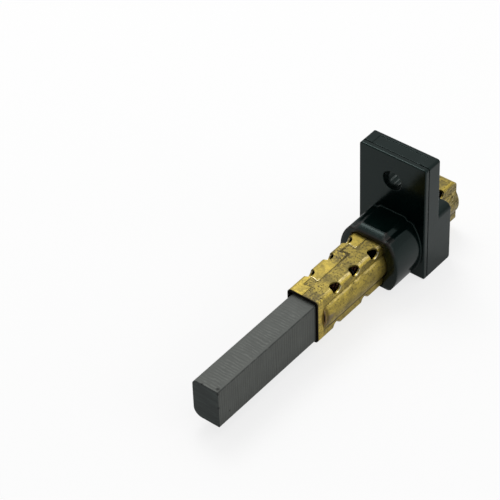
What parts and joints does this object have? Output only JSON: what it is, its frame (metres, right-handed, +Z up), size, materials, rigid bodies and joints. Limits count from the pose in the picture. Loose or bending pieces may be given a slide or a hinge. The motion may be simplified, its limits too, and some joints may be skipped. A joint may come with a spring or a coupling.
{
  "type": "carbon brush",
  "caption": "Spring-loaded carbon brush sliding in a folded brass guide tube, held by a black moulded flange with a collar and a screw hole.",
  "frame": {"origin": "on the guide tube's axis, at the front face of the holder's flange", "axes": "-Y along the tube's axis towards the carbon's contact face, +X across the brush, +Z up towards the screw hole"},
  "size_m": [0.0162, 0.077, 0.0285],
  "materials": {
    "carbon": "dry pressed carbon, ground faces",
    "copper_powder": "dull tamped copper powder",
    "copper_braid": "fine bare copper strands",
    "tube_brass": "stamped sheet, tarnished and speckled",
    "spring_steel": "drawn spring wire, dark",
    "black_moulding": "glossy black phenolic moulding"
  },
  "bodies": {
    "housing": {"holder": "black_moulding", "guide_tube": "tube_brass", "pressure_spring": "spring_steel", "copper_flex": "copper_braid"},
    "carbon": {"carbon_block": "carbon", "tamping_plug": "copper_powder"}
  },
  "joints": [
    {"name": "carbon_slide", "type": "slide", "parent": "housing", "child": "carbon", "axis": [0, 1, 0], "range_m": [0, 0.025], "stiffness_N_per_m": 200, "springref_m": -0.0085, "deforming": ["pressure_spring", "copper_flex"]}
  ]
}
